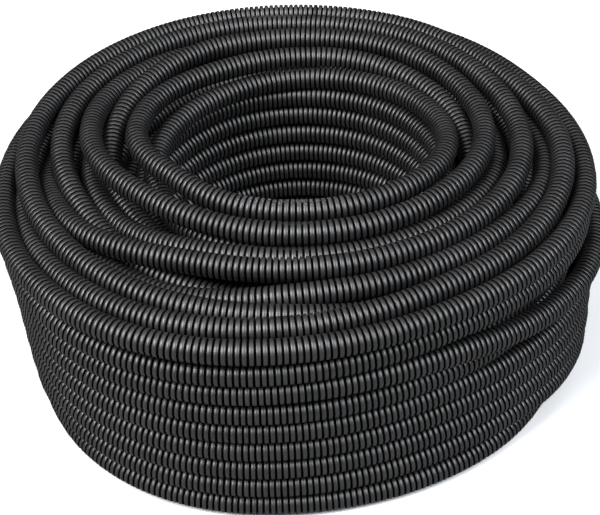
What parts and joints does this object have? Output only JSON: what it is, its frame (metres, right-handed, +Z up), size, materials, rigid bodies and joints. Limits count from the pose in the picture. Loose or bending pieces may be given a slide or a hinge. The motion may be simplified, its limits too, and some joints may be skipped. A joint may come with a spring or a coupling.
{
  "type": "coil of corrugated conduit",
  "caption": "Coil of flexible corrugated conduit, lying on its flat side, with its turns wound in nested layers round an open bore.",
  "frame": {"origin": "on the floor under the middle of the coil's bore, as it lies on its flat side", "axes": "+Z up, along the axis of the coil; X and Y lie in the plane of the turns"},
  "size_m": [0.3306, 0.3306, 0.139],
  "materials": {
    "conduit_plastic": "satin black moulded polymer"
  },
  "bodies": {
    "root": {"conduit_coil": "conduit_plastic"}
  },
  "joints": []
}
